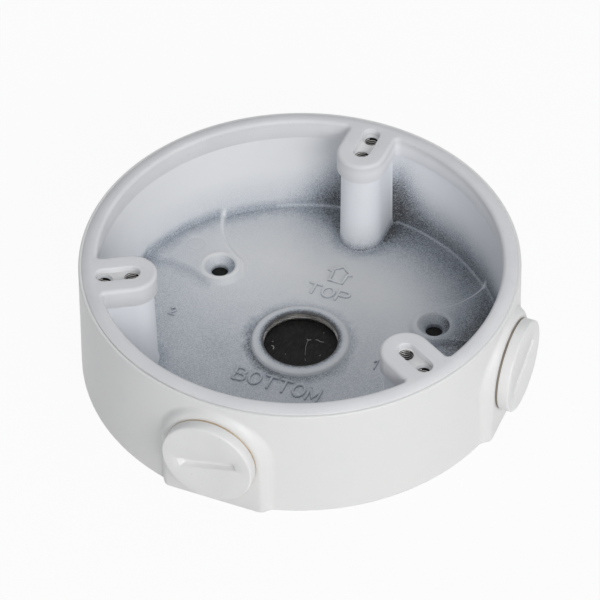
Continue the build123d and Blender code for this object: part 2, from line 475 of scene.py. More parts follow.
# The outside: plain columns all round, with a window for each entry's boss.
housing_skin = Skin()
window_half = 19.5
window_columns = 52
columns_between = 25
columns_behind = 112
window_starts = {"bottom": 0, "side": window_columns + columns_between}
wall_turns = np.concatenate(
    [
        np.linspace(-90 - window_half, -90 + window_half, window_columns, endpoint=False),
        np.linspace(-90 + window_half, -window_half, columns_between, endpoint=False),
        np.linspace(-window_half, window_half, window_columns, endpoint=False),
        np.linspace(window_half, 270 - window_half, columns_behind, endpoint=False),
    ]
)
columns = len(wall_turns)
round_the_drum = np.stack([np.cos(np.radians(wall_turns)), np.sin(np.radians(wall_turns))], 1)


def drum_row(radius, height):
    """A row round the drum, with its own radius and height at each column if need be."""
    return np.column_stack([round_the_drum * np.reshape(radius, (-1, 1)), np.full(columns, height)])


base_break = 1.2
wall_top = 34.5
wall_heights = [base_break, 4, 8, 12, 16, 20, 24, 28, 32, wall_top]
window_turns = np.linspace(-window_half, window_half, window_columns + 1)
lowest = drum_row(drum_radius(base_break), base_break)
for name, first in window_starts.items():
    across = drum_radius(base_break) * np.sin(np.radians(window_turns))
    height = np.full(len(across), base_break)
    foot = np.stack([entry_surface(across, height), across, height], 1)
    lowest[first : first + len(foot)] = turned(foot, entry_angles[name])
wall_rows = [housing_skin.row(lowest)]
wall_rows += [housing_skin.row(drum_row(drum_radius(z), z)) for z in wall_heights[1:]]
windows = {first + i for first in window_starts.values() for i in range(window_columns)}
for lower, upper in zip(wall_rows, wall_rows[1:]):
    for i in range(columns):
        if i not in windows:
            j = (i + 1) % columns
            housing_skin.faces.append((lower[i], lower[j], upper[j], upper[i]))


def unrolled(y, z):
    """Where a point of the outside lies on the unrolled wall."""
    return np.stack([base_radius * np.arcsin(y / drum_radius(z)), z], -1)


window_limit = base_radius * math.radians(window_half)
arch_offsets = (-2.0, -1.32, -0.9, -0.55, -0.22, 0.1, 0.4, 0.65, 0.9, 1.2, 1.6, 2.2, 2.6, 3.0, 3.4, 3.8, 4.3)
arch_spacing = 0.8
arch_clearance = 0.35
arch = []
for off in arch_offsets:
    radius = entry_radius + off
    arch += [(side * radius, z) for side in (-1, 1) for z in np.arange(1.0, entry_height, arch_spacing)]
    for a in np.linspace(0, math.pi, int(radius * math.pi / arch_spacing)):
        arch.append((radius * math.cos(a), entry_height + radius * math.sin(a)))
arch = np.array([p for p in arch if base_break + arch_clearance < p[1] < wall_top - arch_clearance])
flat_arch = unrolled(arch[:, 0], arch[:, 1])
kept = np.abs(flat_arch[:, 0]) < window_limit - 0.4
arch, flat_arch = arch[kept], flat_arch[kept]

entry_outer_loops = {}
entry_mouth = entry_ring(entry_bore_radius + 0.4, entry_face)
flat_mouth = unrolled(entry_mouth[:, 1], entry_mouth[:, 2])
flat_foot = base_radius * np.radians(window_turns)
flat_edge = [(u, base_break) for u in flat_foot]
flat_edge += [(window_limit, z) for z in wall_heights[1:-1]]
flat_edge += [(u, wall_top) for u in flat_foot[::-1]]
flat_edge += [(-window_limit, z) for z in wall_heights[-2:0:-1]]
taken = np.vstack([flat_edge, flat_arch, flat_mouth])
rest = scattered(1.6, taken, (0.8 - window_limit, base_break + 0.8), (window_limit - 0.8, wall_top - 0.6))
rest = rest[np.hypot(rest[:, 0], rest[:, 1] - entry_height) > entry_bore_radius + 1]
rest_y = drum_radius(rest[:, 1]) * np.sin(rest[:, 0] / base_radius)
boss_y = np.concatenate([arch[:, 0], rest_y])
boss_z = np.concatenate([arch[:, 1], rest[:, 1]])
boss_points = np.stack([entry_surface(boss_y, boss_z), boss_y, boss_z], 1)
for name, first in window_starts.items():
    last = first + window_columns
    edge = list(wall_rows[0][first : last + 1])
    edge += [row[last] for row in wall_rows[1:-1]]
    edge += list(wall_rows[-1][first : last + 1][::-1])
    edge += [row[first] for row in wall_rows[-2:0:-1]]
    mouth_loop = housing_skin.row(turned(entry_mouth, entry_angles[name]))
    entry_outer_loops[name] = mouth_loop
    loose = housing_skin.row(turned(boss_points, entry_angles[name]))
    flat = np.zeros((len(housing_skin.points), 2))
    flat[edge] = flat_edge
    flat[mouth_loop] = flat_mouth
    flat[loose] = np.vstack([flat_arch, rest])
    housing_skin.fill(np.array(edge), [mouth_loop], flat, loose)


def hump(value, middle, width):
    """1 at the middle, fading smoothly to both sides."""
    return np.exp(-(((value - middle) / width) ** 2))


def near(bearing, middle, width):
    """The same round the box, in degrees."""
    return hump((bearing - middle + 180) % 360 - 180, 0, width)

# The lip: a thin rounded rim round the gasket's seat. The gasket sits a little loose at the front left.
lip_round = 0.42
row = wall_rows[-1]
for a in np.radians([15, 32, 50, 70, 90]):
    radius = drum_radius(wall_top) - lip_round * (1 - math.cos(a))
    height = wall_top + 0.08 + lip_round * math.sin(a)
    row = housing_skin.band(row, housing_skin.row(drum_row(radius, height)))
loose_fit = near(wall_turns, -105, 30)
shallow = 1 - loose_fit
lip_rows = [(seat_radius + 0.2, housing_height), (seat_radius + 0.06, 34.94 + 0.05 * shallow)]
lip_rows += [(seat_radius, 34.8 + 0.18 * shallow), (seat_radius, ledge_height)]
for radius, height in lip_rows:
    row = housing_skin.band(row, housing_skin.row(drum_row(radius, height)))
seat_loop = row

# The ledge under the gasket, with the tapped holes in the posts.
mouth_loop = housing_skin.row(cavity_row(0, ledge_height))
screw_loops = []
screw_depth = 14.0
screw_mouth_radii = (2.2, 2.36)
screw_hole_count = 40
screw_hole_ends = ((1.85, -screw_depth), (1.3, -screw_depth - 0.5), (0.05, -screw_depth - 1.0))
screw_hole_profiles = (
    ((2.12, -0.06), (2.05, -0.14), (2.03, -0.3), (2.03, -screw_depth + 2), *screw_hole_ends),
    ((2.3, -0.1), (1.92, -0.8), (1.86, -0.95), *screw_hole_ends),
)


def screw_middle(angle, place):
    """Where a hole stands on the line at an angle."""
    return turned([[place, 0, 0]], angle)[0][:2]


for angle in post_angles:
    for place, mouth, profile in zip(camera_screw_places, screw_mouth_radii, screw_hole_profiles):
        centre = screw_middle(angle, place)
        row = housing_skin.row(circle(mouth, ledge_height, screw_hole_count, centre))
        screw_loops.append(row)
        for radius, drop in profile:
            ring = circle(radius, ledge_height + drop, screw_hole_count, centre)
            row = housing_skin.band(row, housing_skin.row(ring))
        housing_skin.faces.append(tuple(row))
housing_skin.fill(seat_loop, [mouth_loop, *screw_loops], housing_skin.points[:, :2])

# The cavity's wall: drafted, with a soft foot that climbs over the lands.
foot_round = 0.9
foot_inset = cavity_slope * (ledge_height - floor_height)
foot_plan = cavity_row(foot_inset + foot_round, 0)
foot_height = floor_rise(foot_plan[:, 0], foot_plan[:, 1])
wall_foot = foot_height + foot_round
wall_fractions = (0.86, 0.72, 0.58, 0.44, 0.3, 0.18, 0.08, 0.0)
cavity_rows = [mouth_loop]
for fraction in wall_fractions:
    height = wall_foot + (ledge_height - wall_foot) * fraction
    cavity_rows.append(housing_skin.row(cavity_row(cavity_slope * (ledge_height - height), height)))
outline_turn = np.degrees(np.arctan2(outline_points[:, 1], outline_points[:, 0]))
on_wall = np.abs(np.hypot(outline_points[:, 0], outline_points[:, 1]) - cavity_radius) < 0.01
opening_half = 13.4
open_spans = {}
for name, angle in entry_angles.items():
    off = (outline_turn - angle + 180) % 360 - 180
    span = np.where((np.abs(off) < opening_half) & on_wall)[0]
    open_spans[name] = span[np.argsort(off[span])]
skipped = {(a, b) for span in open_spans.values() for a, b in zip(span, span[1:])}
for upper, lower in zip(cavity_rows, cavity_rows[1:]):
    for i in range(len(outline_points)):
        j = (i + 1) % len(outline_points)
        if (i, j) not in skipped:
            housing_skin.faces.append((upper[i], upper[j], lower[j], lower[i]))
row = cavity_rows[-1]
for a in np.radians([18, 36, 54, 72, 90]):
    inset = foot_inset + foot_round * (1 - math.cos(a))
    row = housing_skin.band(row, housing_skin.row(cavity_row(inset, wall_foot - foot_round * math.sin(a))))
floor_loop = row

# The threaded bores of the side entries, through the wall.
entry_bore_profile = ((10.9, 61.35), (10.75, 61.1), (10.72, 60.8), (10.72, 57.2))


def wall_inside(y, z):
    """How far out the cavity's drafted wall lies at an entry."""
    return np.sqrt((cavity_radius - cavity_slope * (ledge_height - z)) ** 2 - y**2)


for name, angle in entry_angles.items():
    span = open_spans[name]
    edge = [cavity_rows[-1][i] for i in span]
    edge += [row[span[-1]] for row in cavity_rows[-2:0:-1]]
    edge += [cavity_rows[0][i] for i in span[::-1]]
    edge += [row[span[0]] for row in cavity_rows[1:-1]]
    inner_mouth = entry_ring(entry_bore_radius + 0.37, 0)
    inner_mouth[:, 0] = wall_inside(inner_mouth[:, 1], inner_mouth[:, 2])
    bore_loop = housing_skin.row(turned(inner_mouth, angle))
    local = turned(housing_skin.points[edge], -angle)[:, 1:]
    taken = np.vstack([local, inner_mouth[:, 1:]])
    rest = scattered(2.2, taken, local.min(0) + 0.8, local.max(0) - 0.8)
    rest = rest[np.hypot(rest[:, 0], rest[:, 1] - entry_height) > entry_bore_radius + 0.8]
    spots = np.stack([wall_inside(rest[:, 0], rest[:, 1]), rest[:, 0], rest[:, 1]], 1)
    loose = housing_skin.row(turned(spots, angle))
    flat = turned(housing_skin.points, -angle)[:, 1:]
    housing_skin.fill(np.array(edge), [bore_loop], flat, loose)
    row = entry_outer_loops[name]
    for radius, out in entry_bore_profile:
        row = housing_skin.band(row, housing_skin.row(turned(entry_ring(radius, out), angle)))
    housing_skin.band(row, bore_loop)

# The floor: lands round the wall screws, ejector marks, and the ring round the cable bore.
ring_count = 120
land_count = 60
ejector_count = 44
back_count = 180
ring_foot_radius = 14.35
ring_foot = housing_skin.row(circle(ring_foot_radius, floor_height, ring_count))
ring_profile = (
    (14.05, 3.03), (13.85, 3.12), (13.7, 3.3), (13.58, 3.6), (13.42, 3.82), (13.15, 3.96), (12.6, 4.06),
    (11.9, 4.16), (11.4, 4.2), (11.0, 4.18), (10.7, 4.1), (10.5, 3.97), (10.4, 3.82),
    (cable_bore_radius, 3.62),
)
groove_profile = (
    (10.4, 3.5), (10.74, 3.42), (10.74, 3.12), (10.4, 3.04), (10.42, 2.34), (10.8, 2.26),
    (10.8, 1.94), (10.42, 1.86), (10.44, 1.42), (10.95, 1.3), (10.95, pad_thickness),
)
row = ring_foot
for radius, height in (*ring_profile, *groove_profile):
    row = housing_skin.band(row, housing_skin.row(circle(radius, height, ring_count)))
bore_mouth = row
screw_profile = (
    (5.75, 0.05), (5.5, 0.16), (5.25, 0.25), (5.0, 0.29), (4.8, 0.25), (4.62, 0.12), (4.45, -0.07),
    (4.2, -0.33), (wall_screw_radius + 0.1, -2.0), (wall_screw_radius + 0.02, -2.12),
    (wall_screw_radius, -2.3), (wall_screw_radius, pad_thickness - land_top),
)
land_loops = []
screw_mouths = []
for angle in land_angles:
    centre = screw_middle(angle, land_place)
    row = housing_skin.row(circle(6.0, land_top, land_count, centre))
    land_loops.append(row)
    for radius, rise in screw_profile:
        ring = circle(radius, land_top + rise, land_count, centre)
        row = housing_skin.band(row, housing_skin.row(ring))
    screw_mouths.append(row)
ejector_profile = ((2.15, 0.0), (2.38, -0.03), (2.5, -0.13), (2.62, -0.02), (2.85, 0.0))
ejector_rings = []
for angle in land_angles:
    for radius, drop in ejector_profile:
        spot = circle(radius, 0, ejector_count, screw_middle(angle, ejector_place))
        spot[:, 2] = floor_rise(spot[:, 0], spot[:, 1]) + drop
        ejector_rings.append(spot)
ejector_rings = np.vstack(ejector_rings)
flanks = []
for angle in land_angles:
    for off in (0.42, 0.2, -0.02, -0.24, -0.46, -0.7, -0.94, -1.16, -1.34, -1.5):
        head = circle(land_foot_radius + off, 0, 80)
        head = head[head[:, 0] < 0][:, :2] + (land_place, 0)
        side = land_side_radius - off
        sweep = np.arange(0.0, 1.05, 0.6 / side)
        neck_across = land_foot_radius + land_side_radius - side * np.cos(sweep)
        neck = np.stack([land_place + side * np.sin(sweep), neck_across], 1)
        flat = np.vstack([head, neck, neck * (1, -1)])
        flanks.append(turned(np.column_stack([flat, np.zeros(len(flat))]), angle)[:, :2])
flanks = np.vstack(flanks)
floor_edge = housing_skin.points[floor_loop][:, :2]


def clear_of(points, others, gap):
    """Those of the flat points that keep a gap to all the others."""
    free = np.ones(len(points), bool)
    for other in others:
        free &= ((points - other) ** 2).sum(1) > gap * gap
    return points[free]


edge_gap = 0.35
ejector_gap = 0.3
floor_spacing = 2.4
flanks = flanks[inside(floor_edge, flanks)]
flanks = clear_of(flanks, floor_edge, edge_gap)
flanks = clear_of(flanks, ejector_rings[:, :2], ejector_gap)
flanks = flanks[np.hypot(flanks[:, 0], flanks[:, 1]) > ring_foot_radius + 0.45]
taken = housing_skin.points[np.concatenate([floor_loop, ring_foot, *land_loops])][:, :2]
taken = np.vstack([taken, ejector_rings[:, :2], flanks])
rest = scattered(floor_spacing, taken, (-56, -56), (56, 56))
rest = rest[inside(floor_edge, rest) & (np.hypot(rest[:, 0], rest[:, 1]) > ring_foot_radius + 1.15)]
for loop in land_loops:
    rest = rest[~inside(housing_skin.points[loop][:, :2], rest)]
plan = np.vstack([flanks, rest])
on_the_floor = np.column_stack([plan, floor_rise(plan[:, 0], plan[:, 1])])
loose = np.concatenate([housing_skin.row(ejector_rings), housing_skin.row(on_the_floor)])
housing_skin.fill(floor_loop, [ring_foot, *land_loops], housing_skin.points[:, :2], loose)

# The back: a soft edge, a flat rim, and the shallow seat of the pad. The edge is sharper under a boss.
row = wall_rows[0]
foot_points = housing_skin.points[row]
foot_reach = np.hypot(foot_points[:, 0], foot_points[:, 1])
boss_break = 0.3
edge_break = boss_break + (base_break - boss_break) * np.clip((foot_reach - base_radius) / 0.55, 0, 1)
for height in (0.83, 0.5, 0.25, 0.07, 0.0):
    spots = foot_points.copy()
    edge_inset = edge_break - np.sqrt(edge_break**2 - np.clip(edge_break - height, 0, None) ** 2)
    spots[:, :2] *= ((foot_reach - edge_inset) / foot_reach)[:, None]
    spots[:, 2] = height
    row = housing_skin.band(row, housing_skin.row(spots))
recess_loop = housing_skin.row(circle(pad_recess_radius, 0, back_count))
housing_skin.fill(row, [recess_loop], housing_skin.points[:, :2])
recess_floor = housing_skin.row(circle(pad_recess_radius, pad_thickness, back_count))
row = housing_skin.band(recess_loop, recess_floor)
housing_skin.fill(row, [bore_mouth, *screw_mouths], housing_skin.points[:, :2])


def cast_finish(name):
    """Off-white spray paint on a grey casting; one point attribute says how much paint is there, with painted
    shade and painted highlights mixed in.
    """
    finish = Finish(bpy.data.materials.new(name))
    coverage = finish.attribute("coverage")
    bare = finish.attribute("bare").step(0.45, 0.55)
    within = finish.attribute("within")
    grains = finish.noise(3200.0, 1.0, 0.5)
    cloud = finish.noise(140.0, 3.0, 0.55)
    speckled_paint_and_light = coverage + (grains - 0.5) * 1.6 * (1.0 - coverage) + (cloud - 0.5) * 0.08
    tints = [(0.0, (0.045, 0.046, 0.05)), (0.22, (0.11, 0.115, 0.125)), (0.5, (0.33, 0.365, 0.42))]
    tints += [(0.78, (0.62, 0.645, 0.68)), (1.0, (0.79, 0.787, 0.78))]
    colour = finish.node("ShaderNodeValToRGB", {"stops": tints}, {"Fac": speckled_paint_and_light})
    colour = finish.mix((cloud - 0.4).clipped() * 0.2, colour, (0.72, 0.715, 0.705))
    # The within attribute mixes in a paler, bluer white: painted bounce light in the cavity, and a painted
    # highlight on the lands' lit flanks.
    colour = finish.mix(within * speckled_paint_and_light.clipped() ** 3.0 * 0.5, colour, (0.88, 0.895, 0.93))
    cut_metal = finish.mix(cloud.step(0.35, 0.65), (0.46, 0.45, 0.43), (0.66, 0.65, 0.63))
    # On bare metal a low value of the first attribute darkens it nearly to black: painted shade deep in the
    # tapped holes.
    cut_metal = finish.mix(coverage, (0.03, 0.028, 0.025), cut_metal)
    colour = finish.mix(bare, colour, cut_metal)
    peel = finish.noise(700.0, 2.0, 0.5)
    rough = 0.40 + (1 - coverage) * 0.25 + (peel - 0.5) * 0.1 - bare * 0.1
    values = {"Base Color": colour, "Metallic": bare, "Roughness": rough}
    finish.surface(values, 0.35, 0.00012, peel * 0.6 + grains * 0.25)
    return finish


def ramp(value, low, high):
    """0 up to low, 1 from high on, and straight between them."""
    return np.clip((value - low) / (high - low), 0, 1)


def post_distance(x, y):
    """How far a flat point lies from the middle line of the nearest post."""
    nearest = np.full(np.shape(x), 1e3)
    for angle in post_angles:
        along, across = along_and_across(x, y, angle)
        head = np.hypot(along - post_reach, across)
        nearest = np.minimum(nearest, np.where(along < post_reach, head, np.abs(across)))
    return nearest


def floor_paint_loss_and_painted_light(x, y, z, right):
    """How thin the paint is on the floor, with a painted highlight on each land's lit flank and painted shade
    past its far one, and how much a point lies on a lit flank.
    """
    reach = np.hypot(x, y)
    bearing = np.degrees(np.arctan2(y, x))
    loss_with_painted_light = np.clip(0.27 - 0.008 * y, 0.05, 0.33)
    loss_with_painted_light += (0.16 + 0.40 * right + 1.2 * near(bearing, 17, 14)) * ramp(reach, 27, 55) ** 1.8
    back_left = (1 - 0.5 * ramp(bearing, 150, 166)) * ramp(bearing, 100, 120) * ramp(188 - bearing, 0, 14)
    loss_with_painted_light = np.minimum(loss_with_painted_light + 0.26 * back_left * ramp(reach, 51.5, 54.6), 0.97)
    foot = land_distance(x, y)
    lit_flank = np.zeros(len(x))
    for angle, lit_side in ((30.0, 1), (150.0, -1)):
        along, across = along_and_across(x, y, angle)
        lit = hump(foot, -0.55, 0.55) * (z < 6) * (along > land_place - 6) * ramp(across * lit_side, 3, 6)
        painted_shade_beyond = hump(foot, 0.2, 1.1) * (z < 6) * (along > land_place - 4) * ramp(-across * lit_side, 4, 7)
        # The lit flank keeps more paint, a painted highlight; the floor past the far flank keeps less,
        # painted shade.
        loss_with_painted_light = loss_with_painted_light * (1 - 0.9 * lit) + 0.12 * painted_shade_beyond
        lit_flank = np.maximum(lit_flank, lit)
    return loss_with_painted_light, lit_flank


def paint_and_painted_shade_on_land(cover_with_painted_light, x, y, z, angle):
    """The colour on one land: paler on the raised rim, most at the left, painted shade down the cone's right
    side, and darker in the hole.
    """
    centre = screw_middle(angle, land_place)
    off = np.hypot(x - centre[0], y - centre[1])
    rim = (off > 4.4) & (off < 5.9) & (z > 4.2)
    cover_with_painted_light = np.where(rim, cover_with_painted_light + np.where(x < 0, 0.6, 0.2) * (1 - cover_with_painted_light), cover_with_painted_light)
    shaded = ramp(x - centre[0] + 0.4 * (y - centre[1]), 0, 4.4)
    cover_with_painted_light = np.where((off < 4.4) & (z > 1.9), 0.97 * cover_with_painted_light - 0.42 * shaded**2, cover_with_painted_light)
    return np.where((off < 2.62) & (z < 2.4), 0.85 * cover_with_painted_light, cover_with_painted_light)


def spray(piece):
    """Writes where the paint is thin and where the metal is bare, from how deep a point lies, with painted
    shade and highlights in the paint's attribute and painted bounce light in another.
    """
    points = np.zeros(len(piece.data.vertices) * 3)
    piece.data.vertices.foreach_get("co", points)
    x, y, z = points.reshape(-1, 3).T * 1000
    reach = np.hypot(x, y)
    bearing = np.degrees(np.arctan2(y, x))
    top_side = y > 30
    inner_top = ledge_height - 0.1

    # Walls and floor, and the shade behind the top post.
    depth = ramp(ledge_height - z, 0, ledge_height - floor_height)
    right = ramp(118 - bearing, 0, 14) * ramp(bearing, 20, 34)
    wall_loss = (0.15 + 0.12 * near(bearing, 132, 24)) * ramp(depth, 0.52, 0.95) * (1 - right)
    wall_loss += 0.72 * ramp(depth, 0.44, 0.96) ** 1.2 * right
    floor_loss_with_painted_light, lit_flank = floor_paint_loss_and_painted_light(x, y, z, right)
    lifted = z - floor_rise(x, y)
    low = ramp(1.4 - lifted, 0, 0.8)
    loss_with_painted_light = wall_loss * (1 - low) + floor_loss_with_painted_light * low
    beside = np.maximum(np.abs(x) - post_half_width, 0)
    behind_post = 0.80 * hump(beside, 0, 8.5) * (y > 46) * ramp(depth, 0.05, 0.62)
    loss_with_painted_light += (1 - loss_with_painted_light) * behind_post * (1 - 0.25 * (x < 0)) * (1 - 0.6 * low)

    # The posts, which catch the spray; the floor is darker round each post's foot, and a painted shadow lies
    # round the ring's foot, deepest at the front left.
    post = post_distance(x, y)
    post_side = post_half_width + 0.25 + cavity_slope * (ledge_height - z)
    on_post = (post < post_side) & (reach < 56.2) & (z < inner_top)
    loss_with_painted_light = np.where(on_post, (0.12 + 0.26 * top_side) * ramp(depth, 0.6, 1.0) ** 2, loss_with_painted_light)
    loss_with_painted_light += (0.14 + 0.14 * top_side) * hump(post, post_half_width, 2.8) * low
    on_floor = (z > floor_height - 0.5) & (reach > 13.6)
    # Painted shadow of the ring on the floor, strongest at the front left.
    ring_painted_shadow = (0.16 + 0.28 * near(bearing, 235, 70)) * hump(reach, 14.5, 0.8)
    loss_with_painted_light = np.where(on_floor, loss_with_painted_light + ring_painted_shadow, loss_with_painted_light)
    on_ring = (reach < 13.9) & (z > 3.2)
    loss_with_painted_light = np.where(on_ring, 0.16 + 0.76 * ramp(12.2 - reach, 0, 1.5) ** 1.3, loss_with_painted_light)
    # Along the wall's foot at the back right, paint is given back on the fillet: a painted highlight.
    painted_highlight_at_wall_foot = (reach > 54) & (bearing > 15) & (bearing < 120)
    cover_with_painted_light = 1 - loss_with_painted_light + 0.3 * loss_with_painted_light * hump(lifted, 0.4, 0.4) * painted_highlight_at_wall_foot
    for angle in land_angles:
        cover_with_painted_light = paint_and_painted_shade_on_land(cover_with_painted_light, x, y, z, angle)

    # Full paint outside and on the ledge, little on the back, and bare metal where a tool has cut.
    cover_with_painted_light = np.where((reach > 57.2) | (z > inner_top), 1.0, cover_with_painted_light)
    cover_with_painted_light = np.where((z < 1.3) & (reach < 57) & (reach > 11), 0.5, cover_with_painted_light)
    bare = (reach < 10.8) & (z < 3.7) & (z > 1.2)
    cover_with_painted_light = np.where(bare, 1.0, cover_with_painted_light)
    for angle in entry_angles.values():
        along, across = along_and_across(x, y, angle)
        in_bore = np.hypot(across, z - entry_height) < entry_bore_radius + 0.6
        bare |= in_bore & (along > 54) & (along < 61.2)
    for angle in post_angles:
        for place, top in zip(camera_screw_places, (33.75, 33.1)):
            centre = screw_middle(angle, place)
            hole = (np.hypot(x - centre[0], y - centre[1]) < 2.05) & (z < top) & (z > 15)
            bare |= hole
            # The cut metal inside each tapped hole is darkened nearly to black: painted shade deep in the
            # hole.
            cover_with_painted_light = np.where(hole, 0.04, cover_with_painted_light)
    # Each mark is darker at its foot, more towards the back: painted shade round the raised strokes.
    if piece.name.startswith("mark"):
        cover_with_painted_light = cover_with_painted_light - np.where(y > 0, 0.3, 0.14) * (z < floor_height + 0.3)

    # Painted bounce light within the cavity: a paler colour painted most on the posts and the back right
    # wall, and a painted highlight on each land's lit flank.
    within = (reach < 57.0) & (z < inner_top) & (z > 1.0)
    bright = on_post | (within & (z > 6) & (np.abs(bearing - 60) < 30))
    within = np.where(bright, 2.0, within * (0.2 + 0.8 * (z > 6)))
    within = np.where(np.abs(z - 4.6) < 1.2, within + 1.8 * lit_flank, within)
    for name, values in (("coverage", np.clip(cover_with_painted_light, 0, 1)), ("bare", bare), ("within", within)):
        attribute = piece.data.attributes.new(name, "FLOAT", "POINT")
        attribute.data.foreach_set("value", np.asarray(values, np.float32))


housing_finish = cast_finish("housing_paint")
housing = housing_skin.finish("cast_housing", housing_finish)
spray(housing)
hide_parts("housing")
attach(housing, "box")


# Tapped holes and pipe threads: cut in the bare metal after painting, so they shine inside the holes.
# One set of nodes winds every thread as a ridge along its pitch line.
def thread_nodes():
    """Named inputs: where the holes are, and the sizes, direction and finish of their thread."""
    tree = bpy.data.node_groups.new("thread_ridges", "GeometryNodeTree")
    face = tree.interface
    face.new_socket(name="Hole places", in_out="INPUT", socket_type="NodeSocketGeometry")
    for name in ("Pitch radius", "Pitch", "Turns", "Ridge"):
        face.new_socket(name=name, in_out="INPUT", socket_type="NodeSocketFloat")
    face.new_socket(name="Axis turn", in_out="INPUT", socket_type="NodeSocketVector")
    face.new_socket(name="Finish", in_out="INPUT", socket_type="NodeSocketMaterial")
    face.new_socket(name="Threads", in_out="OUTPUT", socket_type="NodeSocketGeometry")
    made = {}

    def add(key, kind, links=None, constants=None, **settings):
        """One node under a short name; a link names another node and its output."""
        made[key] = tree.nodes.new(kind)
        for name, value in settings.items():
            setattr(made[key], name, value)
        for socket, value in (constants or {}).items():
            made[key].inputs[socket].default_value = value
        for socket, (source, output) in (links or {}).items():
            tree.links.new(made[source].outputs[output], made[key].inputs[socket])

    add("in", "NodeGroupInput")
    add("height", "ShaderNodeMath", {0: ("in", "Pitch"), 1: ("in", "Turns")}, operation="MULTIPLY")
    spiral = {"Rotations": ("in", "Turns"), "Height": ("height", 0)}
    spiral |= {"Start Radius": ("in", "Pitch radius"), "End Radius": ("in", "Pitch radius")}
    add("spiral", "GeometryNodeCurveSpiral", spiral, {"Resolution": 40})
    add("level", "GeometryNodeSetCurveNormal", {"Curve": ("spiral", 0)}, mode="Z_UP")
    add("ridge", "GeometryNodeCurvePrimitiveCircle", {"Radius": ("in", "Ridge")}, {"Resolution": 4})
    wound = {"Curve": ("level", 0), "Profile Curve": ("ridge", 0)}
    add("wound", "GeometryNodeCurveToMesh", wound, {"Fill Caps": True})
    add("aimed", "GeometryNodeTransform", {"Geometry": ("wound", 0), "Rotation": ("in", "Axis turn")})
    placed = {"Points": ("in", "Hole places"), "Instance": ("aimed", 0)}
    add("placed", "GeometryNodeInstanceOnPoints", placed)
    add("real", "GeometryNodeRealizeInstances", {"Geometry": ("placed", 0)})
    add("finished", "GeometryNodeSetMaterial", {"Geometry": ("real", 0), "Material": ("in", "Finish")})
    add("out", "NodeGroupOutput", {"Threads": ("finished", 0)})
    return tree


thread_tree = thread_nodes()


def grown(name, places, tree, values):
    """Runs a set of nodes on a few places and keeps the result as a plain mesh."""
    seed_mesh = bpy.data.meshes.new(name + "_places")
    seed_mesh.from_pydata([tuple(0.001 * np.asarray(p)) for p in places], [], [])
    seed = bpy.data.objects.new(name + "_places", seed_mesh)
    scene.collection.objects.link(seed)
    modifier = seed.modifiers.new("nodes", "NODES")
    modifier.node_group = tree
    for item in tree.interface.items_tree:
        if item.item_type == "SOCKET" and item.in_out == "INPUT" and item.name in values:
            modifier[item.identifier] = values[item.name]
    bpy.context.view_layer.update()
    ready = seed.evaluated_get(bpy.context.evaluated_depsgraph_get())
    mesh = bpy.data.meshes.new_from_object(ready)
    bpy.data.objects.remove(seed)
    mesh.name = name
    piece = bpy.data.objects.new(name, mesh)
    scene.collection.objects.link(piece)
    return piece


def wind_thread(name, places, axis, radius, pitch, length, ridge, finish):
    """A thread in each of some holes with one direction, its sizes in millimetres."""
    turn = Vector(axis).to_track_quat("Z", "Y").to_euler()
    values = {"Pitch radius": 0.001 * radius, "Pitch": 0.001 * pitch, "Turns": length / pitch}
    values |= {"Ridge": 0.001 * ridge, "Axis turn": tuple(turn), "Finish": finish.owner}
    piece = grown(name, places, thread_tree, values)
    shape = bmesh.new()
    shape.from_mesh(piece.data)
    bmesh.ops.recalc_face_normals(shape, faces=shape.faces)
    shape.to_mesh(piece.data)
    shape.free()
    return piece


def metal_finish(name, dull, bright):
    """Bare cut aluminium: fine turning marks, with dull and bright patches."""
    finish = Finish(bpy.data.materials.new(name))
    grain = finish.noise(1500.0, 3.0, 0.6)
    blotch = finish.noise(300.0, 2.0, 0.5)
    colour = finish.mix(blotch.step(0.35, 0.65), dull, bright)
    values = {"Base Color": colour, "Metallic": 1.0, "Roughness": 0.28 + grain * 0.2}
    finish.surface(values, 0.3, 0.00003, grain)
    return finish


tapped_metal = metal_finish("tapped_aluminium", (0.55, 0.54, 0.52), (0.92, 0.91, 0.89))
turned_metal = metal_finish("turned_aluminium", (0.46, 0.455, 0.44), (0.66, 0.655, 0.64))
out_of_wall = (0, 0, 1)
screw_pitch = 0.7
pipe_pitch = 1.814
pipe_thread_start = 57.2
pipe_thread = (10.72, pipe_pitch, 3.6, 0.36)
screw_floor = ledge_height - screw_depth
inner_holes, outer_holes = (
    [(*screw_middle(angle, place), screw_floor) for angle in post_angles] for place in camera_screw_places
)
bottom_hole = [(0, -pipe_thread_start, entry_height)]
side_hole = [(pipe_thread_start, 0, entry_height)]
threads = (
    ("inner_screw_threads", inner_holes, out_of_wall, (2.02, screw_pitch, 13.5, 0.2), tapped_metal),
    ("outer_screw_threads", outer_holes, out_of_wall, (1.86, screw_pitch, 12.7, 0.2), tapped_metal),
    ("cable_bore_thread", [(0, 0, 2.4)], out_of_wall, (10.44, 0.35, 0.6, 0.07), turned_metal),
    ("bottom_entry_thread", bottom_hole, (0, -1, 0), pipe_thread, turned_metal),
    ("side_entry_thread", side_hole, (1, 0, 0), pipe_thread, turned_metal),
)
for name, places, axis, (radius, pitch, length, ridge), finish in threads:
    thread = wind_thread(name, places, axis, radius, pitch, length, ridge, finish)
    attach(thread, "box")


# Marks cast into the floor: which way is up, and a number beside each of two posts.
# They stand about half a millimetre proud, under the same paint.
mark_rise = 0.6


